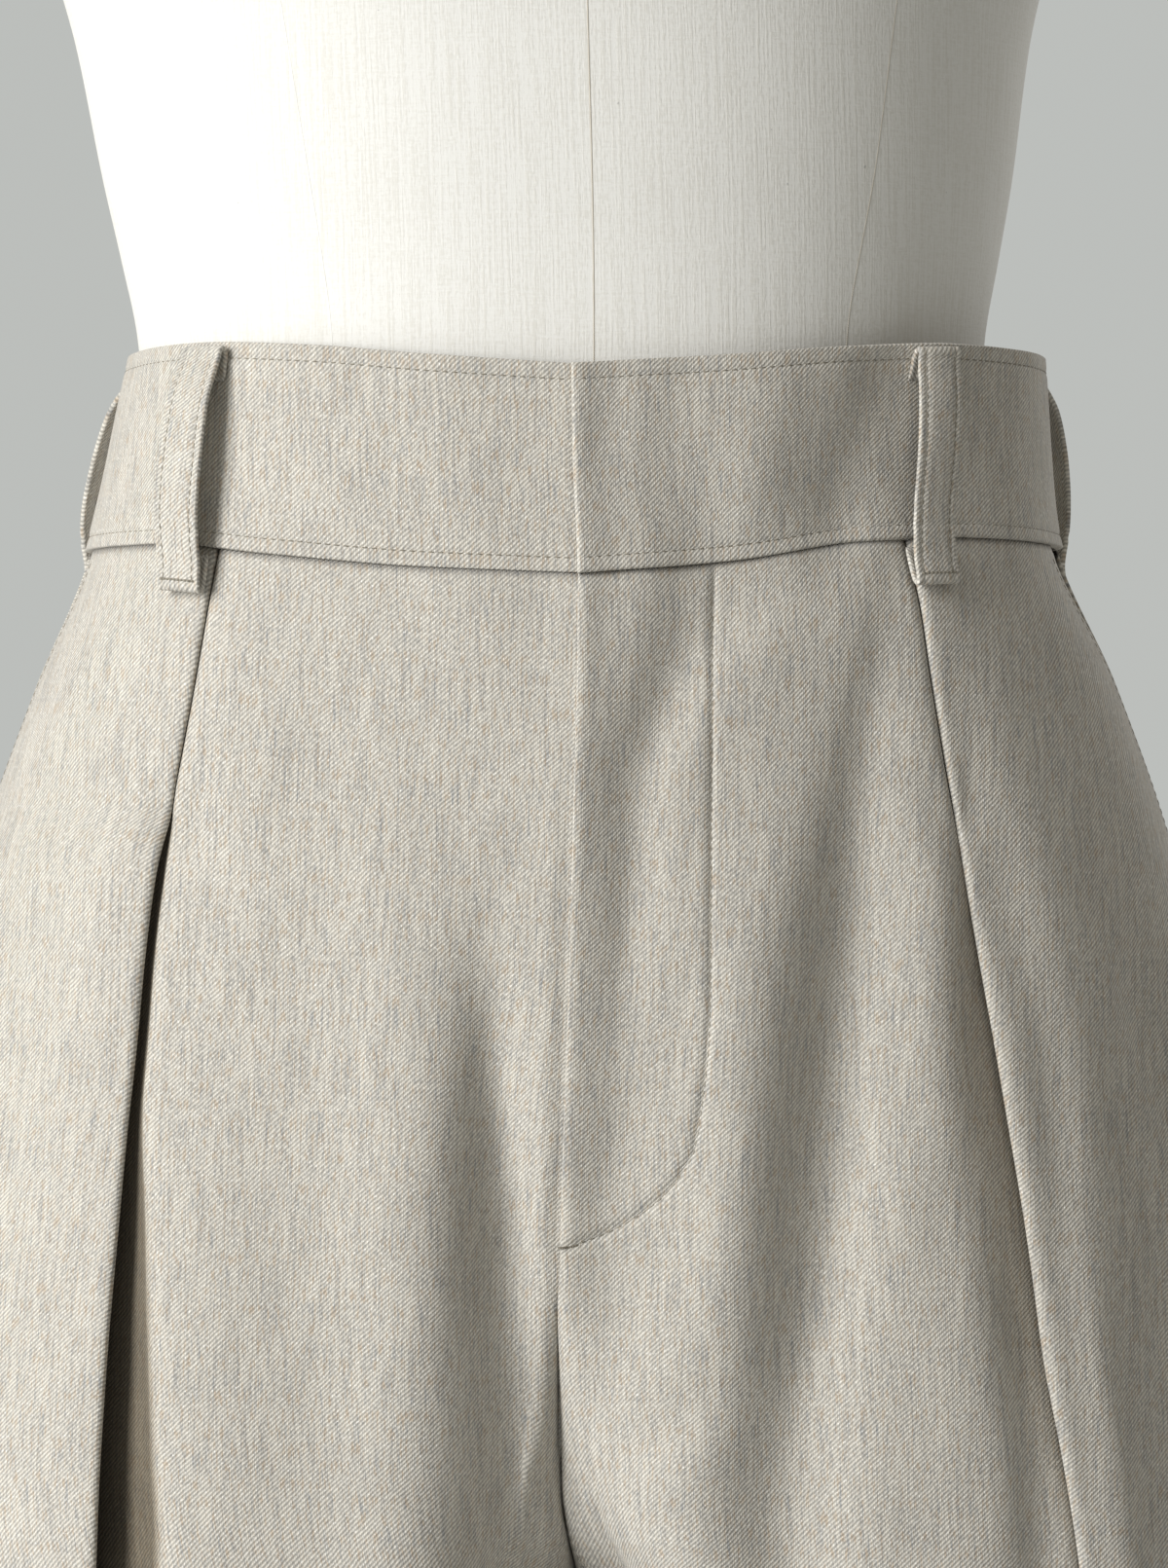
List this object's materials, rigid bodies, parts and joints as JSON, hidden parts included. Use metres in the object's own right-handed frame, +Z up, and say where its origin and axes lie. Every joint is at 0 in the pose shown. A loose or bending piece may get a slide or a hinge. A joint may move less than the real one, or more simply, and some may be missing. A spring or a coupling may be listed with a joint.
{
  "type": "relaxed pleated shorts on a dress form",
  "caption": "Relaxed pleated shorts with a contoured waistband, fly and belt loops, worn on a limbless linen dress form with a two-post stand.",
  "frame": {"origin": "centre of the base plate's underside", "axes": "+Z up, the garment's front faces -Y, +X is the wearer's left"},
  "size_m": [0.402, 0.27, 1.01],
  "materials": {
    "suiting": "oatmeal melange wool twill with a soft matt sheen",
    "form_linen": "off-white plain-weave linen, matt",
    "stand_metal": "off-white satin paint"
  },
  "bodies": {
    "root": {"back_left": "suiting", "back_right": "suiting", "band_back": "suiting", "band_front_left": "suiting", "band_front_right": "suiting", "belt_loop_back": "suiting", "belt_loop_front_left": "suiting", "belt_loop_front_right": "suiting", "belt_loop_side_left": "suiting", "belt_loop_side_right": "suiting", "form_base": "stand_metal", "form_post_left": "stand_metal", "form_post_right": "stand_metal", "form_torso": "form_linen", "front_left": "suiting", "front_right": "suiting", "pocket_facing_left": "suiting", "pocket_facing_right": "suiting"}
  },
  "joints": []
}
